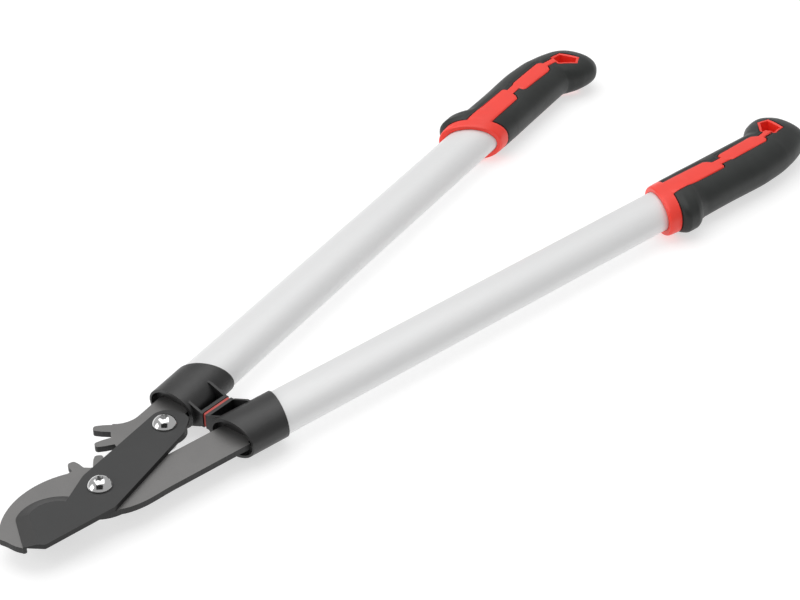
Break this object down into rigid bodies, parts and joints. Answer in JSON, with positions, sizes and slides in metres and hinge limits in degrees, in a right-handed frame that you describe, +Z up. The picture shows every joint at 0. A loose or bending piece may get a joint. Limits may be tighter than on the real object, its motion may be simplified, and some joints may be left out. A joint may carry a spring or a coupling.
{
  "type": "geared bypass lopper",
  "caption": "Long-handled geared bypass lopper, closed, with a hooked lever, a dark coated blade, oval tube handles and soft two-colour grips.",
  "frame": {"origin": "on the main pivot's axis, at the middle of the levers' thickness", "axes": "+X from the main pivot back to the grips along the mirror line of the handles, +Y towards the geared lever's handle, +Z up out of the blade's face"},
  "size_m": [0.6915, 0.24, 0.03],
  "materials": {
    "lever_steel": "satin, hardened and tempered grey",
    "blade_steel": "low-friction charcoal coating over ground steel",
    "bolt_chrome": "bright plated",
    "bush_steel": "turned",
    "zinc_steel": "bright zinc plate",
    "ring_nylon": "natural nylon",
    "collar_plastic": "fine-grained black glass-filled nylon",
    "tube_aluminium": "satin off-white anodised",
    "core_plastic": "glass-filled nylon",
    "grip_red": "smooth moulded red",
    "grip_dark": "soft-touch dark overmoulding",
    "pad_rubber": "soft red elastomer"
  },
  "bodies": {
    "lower_handle": {"hook_lever": "lever_steel", "lower_collar": "collar_plastic", "lower_tube": "tube_aluminium", "lower_tang_core": "core_plastic", "lower_tang_pins": "zinc_steel", "lower_grip_core": "grip_red", "lower_grip_cover": "grip_dark", "bumper_pad": "pad_rubber"},
    "blade": {"cutting_blade": "blade_steel", "main_bolt": "bolt_chrome", "gear_bolt": "bolt_chrome", "pivot_bushes": "bush_steel", "pivot_washers": "zinc_steel", "lock_nuts": "zinc_steel", "lock_rings": "ring_nylon"},
    "upper_handle": {"gear_lever": "lever_steel", "upper_collar": "collar_plastic", "upper_tube": "tube_aluminium", "upper_tang_core": "core_plastic", "upper_tang_pins": "zinc_steel", "upper_grip_core": "grip_red", "upper_grip_cover": "grip_dark"}
  },
  "joints": [
    {"name": "blade_pivot", "type": "hinge", "parent": "lower_handle", "child": "blade", "pos_m": [0, 0, 0], "axis": [0, 0, 1], "range_deg": [0, 60]},
    {"name": "handle_pivot", "type": "hinge", "parent": "blade", "child": "upper_handle", "pos_m": [0.06787, 0.01246, 0], "axis": [0, 0, 1], "range_deg": [0, 46.5]}
  ],
  "couplings": [
    {"joint": "blade_pivot", "follows": "handle_pivot", "ratio": 1.2848}
  ]
}
